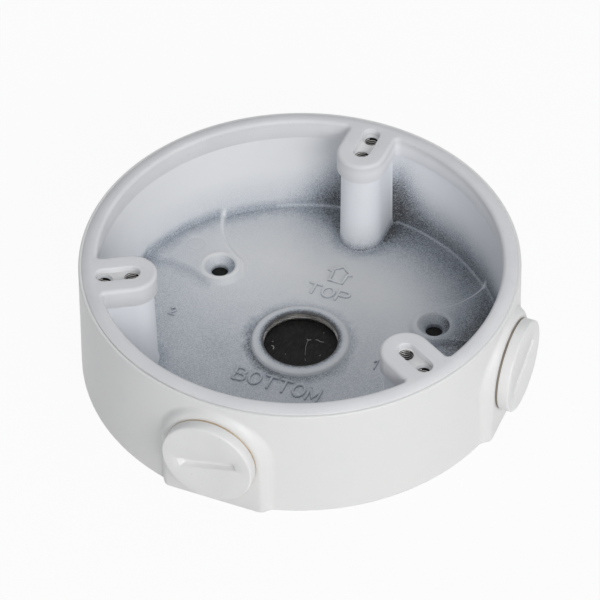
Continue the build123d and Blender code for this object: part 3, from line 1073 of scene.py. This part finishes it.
def stroke_ridge(skin, line, closed, width, rise, base):
    """One stroke of a mark: a half-round ridge along a line, with round ends."""
    line = np.array(line, float)
    count = len(line)
    stations = []
    for i in range(count):
        before = line[i] - line[i - 1] if closed or i else line[1] - line[0]
        after = line[(i + 1) % count] - line[i] if closed or i < count - 1 else before
        before, after = before / np.linalg.norm(before), after / np.linalg.norm(after)
        way = np.array([-(before + after)[1], (before + after)[0]])
        way /= max(np.linalg.norm(way), 1e-6)
        way /= max(abs(way @ np.array([-before[1], before[0]])), 0.6)
        stations.append((line[i], way, before if i else after, 1.0))
    if not closed:
        for end, sense in ((0, -1), (-1, 1)):
            here, way, along, _ = stations[end]
            caps = []
            for a in (0.5, 1.0, 1.45):
                caps.append((here + along * sense * width / 2 * math.sin(a), way, along, math.cos(a)))
            stations = caps[::-1] + stations if sense < 0 else stations + caps
    rows = []
    for here, way, _, share in stations:
        row = []
        for a in np.radians([0, 25, 50, 75, 105, 130, 155, 180, 270]):
            side, up = math.cos(a) * width / 2 * share, max(math.sin(a), -0.4) * rise * share
            row.append((*(here + way * side), base + up))
        rows.append(skin.row(np.array(row)))
    for first, second in zip(rows, rows[1:]):
        skin.band(first, second)
    if closed:
        skin.band(rows[-1], rows[0])
    else:
        skin.faces += [tuple(rows[0]), tuple(rows[-1])]


def round_line(centre, across, up, start, stop, count):
    """Points along part of an upright ellipse."""
    turns = np.radians(np.linspace(start, stop, count))
    return [(centre[0] + across * math.cos(a), centre[1] + up * math.sin(a)) for a in turns]


letter_lines = {
    "B": [
        ([(0, 0), (0, 1), *round_line((0.55, 0.765), 0.35, 0.235, 90, -90, 7), (0, 0.53)], False),
        ([*round_line((0.6, 0.265), 0.4, 0.265, 90, -90, 7), (0, 0)], False),
    ],
    "O": [(round_line((0.5, 0.5), 0.5, 0.5, 0, 342, 20), True)],
    "T": [([(0, 1), (1, 1)], False), ([(0.5, 1), (0.5, 0)], False)],
    "M": [([(0, 0), (0, 1)], False), ([(0, 0.95), (0.5, 0.2), (1, 0.95)], False), ([(1, 1), (1, 0)], False)],
    "P": [([(0, 0), (0, 1), *round_line((0.6, 0.74), 0.4, 0.26, 90, -90, 7), (0, 0.48)], False)],
    "2": [([*round_line((0.5, 0.7), 0.48, 0.3, 160, -35, 9), (0, 0), (1, 0)], False)],
    "1": [([(0, 0.75), (1, 1), (1, 0)], False)],
}


def mark_word(name, word, middle, height, letter_width, step, width):
    """A word in cast letters, each drawn with strokes of one width."""
    skin = Skin()
    left = middle[0] - (step * (len(word) - 1) + letter_width) / 2
    for place, letter in enumerate(word):
        for line, closed in letter_lines[letter]:
            flat = np.array(line) * (letter_width, height) + (left + step * place, middle[1] - height / 2)
            stroke_ridge(skin, flat, closed, width, mark_rise, floor_height)
    return skin.finish(name, housing_finish, 75)


def mark_arrow(name, line):
    """The outline of an arrow, in one closed stroke."""
    skin = Skin()
    stroke_ridge(skin, line, True, 0.9, mark_rise, floor_height)
    return skin.finish(name, housing_finish, 75)


arrow = np.array([(0, 3.0), (3.1, 0.3), (2.1, 0.1), (1.9, -3.5), (-1.9, -3.5), (-2.1, 0.1), (-3.1, 0.3)])
floor_marks = [
    mark_word("mark_top", "TOP", (-0.2, 21.0), 3.9, 3.3, 4.45, 0.85),
    mark_word("mark_bottom", "BOTTOM", (0.3, -18.0), 4.5, 3.2, 4.33, 0.85),
    mark_word("mark_two", "2", (-37.9, -2.2), 2.7, 1.5, 2, 0.5),
    mark_word("mark_one", "1", (22.5, -0.8), 3.2, 0.8, 2, 0.5),
    mark_arrow("mark_arrow_up", arrow + (0.1, 29.3)),
    mark_arrow("mark_arrow_down", arrow * (1, -1) + (0.1, -29.3)),
]
for mark in floor_marks:
    spray(mark)
    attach(mark, "box")


# Rim gasket: one white silicone moulding, pressed onto the ledge with a skirt inside the wall.
# Its soft tongues cap the three posts, with a slot over each pair of tapped holes.
gasket_top = 36.0
gasket_fit = 0.01 + 0.09 * loose_fit
skirt_inset = 1.3
skirt_bottom = 29.8
edge_round = 1.05
dome_start = 56.65
dome_fall = 0.97 - 0.35 * loose_fit
slot_middle = sum(camera_screw_places) / 2
slot_half = 3.7
slot_radius = 2.4
slot_edge = 0.25
slot_foot = 0.14
outer_reach = seat_radius - gasket_fit
outer_profile = [(seat_radius - 0.05, ledge_height + 0.15), (outer_reach, 34.55)]
outer_profile += [(outer_reach, 34.97 + 0.11 * loose_fit), (outer_reach - 0.03, 35.0 + 0.22 * loose_fit)]
for share in (0.965, 0.88, 0.78, 0.66, 0.54, 0.42, 0.3, 0.18, 0.08, 0.0):
    radius = dome_start + (seat_radius - dome_start) * share
    outer_profile.append((radius, gasket_top - dome_fall * share * share))
inner_profile = [(skirt_inset - edge_round, gasket_top)]
for a in np.radians([15, 30, 45, 60, 75, 90]):
    inset = skirt_inset - edge_round * (1 - math.sin(a))
    inner_profile.append((inset, gasket_top - edge_round * (1 - math.cos(a))))
inner_profile += [(skirt_inset, 33.0), (skirt_inset, 30.1), (1.22, 29.9), (1.05, skirt_bottom)]
inner_profile += [(0.35, skirt_bottom), (0.18, 29.9), (0.1, 30.1), (0.1, ledge_height)]
gasket_skin = Skin()
under_loop = gasket_skin.row(drum_row(seat_radius - 0.2, ledge_height))
row = under_loop
for radius, height in outer_profile:
    row = gasket_skin.band(row, gasket_skin.row(drum_row(radius, height)))
top_outer = row
top_inner = gasket_skin.row(cavity_row(skirt_inset - edge_round - 0.12, gasket_top))
row = top_inner
for inset, height in inner_profile:
    row = gasket_skin.band(row, gasket_skin.row(cavity_row(inset, height)))
under_inner = row


def slot_row(angle, grow, height):
    """A row round one post's slot, a little wider or at its own size."""
    half = np.linspace(-math.pi / 2, math.pi / 2, 20)
    end = np.stack([slot_half + (slot_radius + grow) * np.cos(half), (slot_radius + grow) * np.sin(half)], 1)
    both = np.vstack([end, -end])
    spots = np.column_stack([both[:, 0] + slot_middle, both[:, 1], np.full(len(both), height)])
    return gasket_skin.row(turned(spots, angle))


slot_profile = []
for a in np.radians([22, 45, 68, 90]):
    slot_profile.append((slot_edge * (1 - math.sin(a)), gasket_top - slot_edge * (1 - math.cos(a))))
slot_profile += [(0, ledge_height + 0.2), (slot_foot, ledge_height + 0.16), (slot_foot, ledge_height)]
top_slots = []
under_slots = []
for angle in post_angles:
    row = slot_row(angle, slot_edge, gasket_top)
    top_slots.append(row)
    for grow, height in slot_profile:
        row = gasket_skin.band(row, slot_row(angle, grow, height))
    under_slots.append(row)
gasket_skin.fill(top_outer, [top_inner, *top_slots], gasket_skin.points[:, :2])
gasket_skin.fill(under_loop, [under_inner, *under_slots], gasket_skin.points[:, :2])


def moulded_finish(name, pale, worn, roughness, grain_scale, grain_height):
    """A moulding in rubber or plastic: slightly mottled, with the fine skin of its mould."""
    finish = Finish(bpy.data.materials.new(name))
    grain = finish.noise(grain_scale, 3.0, 0.6)
    cloud = finish.noise(90.0, 3.0, 0.5)
    dust = finish.noise(1400.0, 1.0, 0.5).step(0.74, 0.80)
    colour = finish.mix(cloud.step(0.35, 0.7), pale, worn)
    colour = finish.mix(dust * 0.35, colour, (0.35, 0.34, 0.33))
    # Where a piece carries the within attribute, a paler white is mixed in: painted bounce light, used on the
    # gasket.
    colour = finish.mix(finish.attribute("within"), colour, (0.88, 0.885, 0.91))
    rough = roughness + (cloud - 0.5) * 0.12
    finish.surface({"Base Color": colour, "Roughness": rough}, 0.4, grain_height, grain)
    return finish


silicone = moulded_finish("gasket_silicone", (0.75, 0.75, 0.765), (0.715, 0.715, 0.735), 0.55, 900.0, 0.00004)
gasket = gasket_skin.finish("moulded_gasket", silicone, 50)

# Painted bounce light: the skirt at the back right is painted paler, as if lit by the bright wall, and so are
# the slots, where light gathers.
spots = np.zeros(len(gasket.data.vertices) * 3)
gasket.data.vertices.foreach_get("co", spots)
spots = spots.reshape(-1, 3) * 1000
bearing = np.degrees(np.arctan2(spots[:, 1], spots[:, 0]))
on_skirt = (spots[:, 2] < 34.9) & (np.hypot(spots[:, 0], spots[:, 1]) < 57.5)
painted_gathered_light = hump(bearing, 62, 35) * on_skirt
for angle in post_angles:
    along, across = along_and_across(spots[:, 0], spots[:, 1], angle)
    in_slot = (np.abs(along - slot_middle) < 6.3) & (np.abs(across) < 2.8) & (spots[:, 2] < 35.9)
    painted_gathered_light = np.where(in_slot, 0.45, painted_gathered_light)
gasket.data.attributes.new("within", "FLOAT", "POINT").data.foreach_set("value", painted_gathered_light.astype(np.float32))
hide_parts("rim_gasket")
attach(gasket, "box")


# Back pad: a die-cut disc of black rubber foam, pressed into its seat in the back of the casting.
# The cable and the wall screws are pushed through it on site, so it shows black in every hole.
pad_radius = 54.0
pierced_reach = 12
roughened = 0.05
pad_skin = Skin()
pad_profile = [(0.4, pad_thickness), *[(r, pad_thickness) for r in np.arange(1.0, 12.1, 0.6)]]
pad_profile += [(20, pad_thickness), (35, pad_thickness), (pad_radius - 0.3, pad_thickness)]
pad_profile += [(pad_radius - 0.12, 0.95), (pad_radius, 0.82), (pad_radius, 0.18), (pad_radius - 0.12, 0.05)]
pad_profile += [(pad_radius - 0.3, 0.0), (35, 0.0), (12, 0.0), (0.4, 0.0)]
pad_rows = []
rng = np.random.default_rng(7)
for radius, height in pad_profile:
    spots = circle(radius, height, ring_count)
    if height == pad_thickness and radius < pierced_reach:
        spots[:, 2] -= roughened * rng.random(ring_count)
    pad_rows.append(pad_skin.row(spots))
for upper, lower in zip(pad_rows, pad_rows[1:]):
    pad_skin.band(upper, lower)
pad_skin.faces += [tuple(pad_rows[0]), tuple(pad_rows[-1])]


def foam_finish(name):
    """Black rubber foam: fibrous, slightly paler where it has been handled."""
    finish = Finish(bpy.data.materials.new(name))
    place = {"Vector": finish.place(), "Scale": (1, 0.35, 1)}
    stretched = finish.node("ShaderNodeMapping", {"vector_type": "POINT"}, place)
    fibre = finish.noise(1700.0, 4.0, 0.7, stretched)
    handled = finish.noise(130.0, 2.0, 0.5).step(0.4, 0.65)
    colour = finish.mix(fibre.step(0.38, 0.72), (0.0025, 0.0025, 0.0025), (0.028, 0.027, 0.026))
    colour = finish.mix(handled * 0.3, colour, (0.018, 0.0175, 0.017))
    values = {"Base Color": colour, "Roughness": 0.75 + (fibre - 0.5) * 0.3, "Specular IOR Level": 0.2}
    finish.surface(values, 0.8, 0.0001, fibre)
    return finish


foam = foam_finish("pad_rubber")
pad = pad_skin.finish("die_cut_pad", foam, 50)
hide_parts("back_pad")
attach(pad, "box")


# Lint and scratches on the pad: short pale fibres that the cutting left.
# They lie loose on the black rubber, where the cable bore shows it.
lint_lines = (
    (0.26, [(0.6, 3.3), (1.0, 3.2), (1.6, 3.55)]),
    (0.1, [(1.0, 3.1), (1.05, 1.9), (1.4, 0.15), (1.9, -1.2), (2.35, -2.6)]),
    (0.2, [(2.9, 4.05), (3.45, 4.2), (4.25, 3.85), (5.3, 4.0)]),
    (0.24, [(-7.7, -2.6), (-7.15, -2.6), (-6.8, -3.15), (-6.8, -3.7)]),
    (0.2, [(3.8, 7.45), (4.0, 7.45)]),
    (0.18, [(-2.95, -4.25), (-2.8, -4.25)]),
    (0.12, [(2.9, -3.9), (3.3, -4.65)]),
    (0.12, [(-8.2, -1.2), (-7.9, -0.9)]),
    (0.1, [(6.1, -1.5), (6.4, -1.2), (6.3, -0.9)]),
)
lint_rise = 0.07
lint_skin = Skin()
for width, line in lint_lines:
    stroke_ridge(lint_skin, line, False, width, lint_rise, pad_thickness - 0.01)
lint_fibre = moulded_finish("lint_fibre", (0.42, 0.41, 0.38), (0.20, 0.195, 0.185), 0.8, 1500.0, 0.00002)
lint = lint_skin.finish("pad_lint", lint_fibre, 75)
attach(lint, "box")


# Plug washers: thin flat rubber rings, one under each entry plug's head.
# Both are one rubber: the bottom one is coloured a lit tan and the side one a shaded dark brown, as painted
# light and shade; each is pinched against the flat of its boss.
washer_radius = 12.7
washer_bore_radius = 10.36
washer_thickness = 0.62
washer_profile = (
    (12.62, 0.0), (washer_radius, 0.08), (washer_radius, 0.54), (12.62, washer_thickness),
    (10.42, washer_thickness), (washer_bore_radius, 0.52), (washer_bore_radius, 0.1), (10.42, 0.0),
)
# Lit and shaded tints of one rubber: painted light on the bottom washer, painted shade on the side one.
washer_lit_and_shaded_tints = {
    "bottom": ((0.62, 0.51, 0.37), (0.50, 0.38, 0.25)),
    "side": ((0.24, 0.21, 0.17), (0.15, 0.13, 0.105)),
}
for name, angle in entry_angles.items():
    washer_skin = Skin()
    rings = [turned(entry_ring(radius, entry_face + out), angle) for radius, out in washer_profile]
    rows = [washer_skin.row(ring) for ring in rings]
    for row, following in zip(rows, [*rows[1:], rows[0]]):
        washer_skin.band(row, following)
    seal_rubber = moulded_finish(name + "_seal_rubber", *washer_lit_and_shaded_tints[name], 0.6, 1200.0, 0.00003)
    washer = washer_skin.finish(name + "_washer", seal_rubber, 50)
    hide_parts(name + "_plug_seal")
    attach(washer, name + "_seal_carrier")


# Entry plugs: one-piece mouldings in white nylon, a flat head with a coin slot and a hollow shank.
# Each is screwed into its boss by hand or with a coin, and pinches its washer.
head_radius = 12.85
head_edge = 0.55
head_back = entry_face + washer_thickness
plug_face = entry_face + 3.7
shank_end = entry_face - 7.0
plug_slot_turns = {"bottom": 14.5, "side": 26.5}
head_profile = [(9.5, head_back), (12.72, head_back), (12.81, head_back + 0.04)]
head_profile += [(head_radius, head_back + 0.13), (head_radius, plug_face - 0.6)]
for a in np.radians([15, 30, 45, 60, 75, 90]):
    radius = head_radius - head_edge * (1 - math.cos(a))
    head_profile.append((radius, plug_face - head_edge + head_edge * math.sin(a)))
shank_profile = (
    (9.5, shank_end + 0.8), (8.9, shank_end + 0.1), (8.7, shank_end), (7.2, shank_end),
    (7.0, shank_end + 0.2), (7.0, shank_end + 6.2), (6.7, shank_end + 6.55), (6.3, shank_end + 6.6),
)
slot_mouth = (17.0, 3.0, 0.45, 0)
coin_slot_profile = (
    (16.8, 2.8, 0.4, 0.06), (16.65, 2.66, 0.35, 0.2), (15.0, 2.1, 0.3, 1.35), (14.7, 1.9, 0.3, 1.48),
    (14.3, 1.6, 0.3, 1.5),
)


def coin_slot_row(skin, angle, turn, length, width, corner, drop):
    """A long rounded rectangle across the plug's head."""
    spots = []
    for sx, sy, start in ((1, 1, 0), (-1, 1, 90), (-1, -1, 180), (1, -1, 270)):
        middle_x, middle_y = sx * (length / 2 - corner), sy * (width / 2 - corner)
        for a in np.radians(np.linspace(start, start + 90, 6)):
            spots.append((middle_x + corner * math.cos(a), middle_y + corner * math.sin(a)))
    y, z = along_and_across(*np.array(spots).T, -turn)
    return skin.row(turned(np.stack([np.full(len(y), plug_face - drop), y, z + entry_height], 1), angle))


nylon = moulded_finish("plug_nylon", (0.83, 0.825, 0.82), (0.805, 0.80, 0.795), 0.42, 1100.0, 0.00002)
for name, angle in entry_angles.items():
    plug_skin = Skin()
    head_rows = [plug_skin.row(turned(entry_ring(*spot), angle)) for spot in head_profile]
    for row, following in zip(head_rows, head_rows[1:]):
        plug_skin.band(row, following)
    slot_loop = coin_slot_row(plug_skin, angle, plug_slot_turns[name], *slot_mouth)
    row = slot_loop
    for sizes in coin_slot_profile:
        row = plug_skin.band(row, coin_slot_row(plug_skin, angle, plug_slot_turns[name], *sizes))
    plug_skin.faces.append(tuple(row))
    plug_skin.fill(head_rows[-1], [slot_loop], turned(plug_skin.points, -angle)[:, 1:])
    row = head_rows[0]
    for radius, out in shank_profile:
        row = plug_skin.band(row, plug_skin.row(turned(entry_ring(radius, out), angle)))
    plug_skin.faces.append(tuple(row))
    plug = plug_skin.finish(name + "_plug_moulding", nylon, 45)
    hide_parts(name + "_entry_plug")
    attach(plug, name + "_plug")
    outwards = turned([[1, 0, 0]], angle)[0]
    start = outwards * (shank_end + 1.0) + (0, 0, entry_height)
    thread = wind_thread(name + "_plug_thread", [start], tuple(outwards), 9.62, pipe_pitch, 5.6, 0.6, nylon)
    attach(thread, name + "_plug")


# The scene's own box and the part's, side by side as lists of numbers.
dressed_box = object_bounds()
boxes = {"cad": cad_box, "visual": dressed_box}
sizes = {name: [list(map(float, corner)) for corner in box] for name, box in boxes.items()}
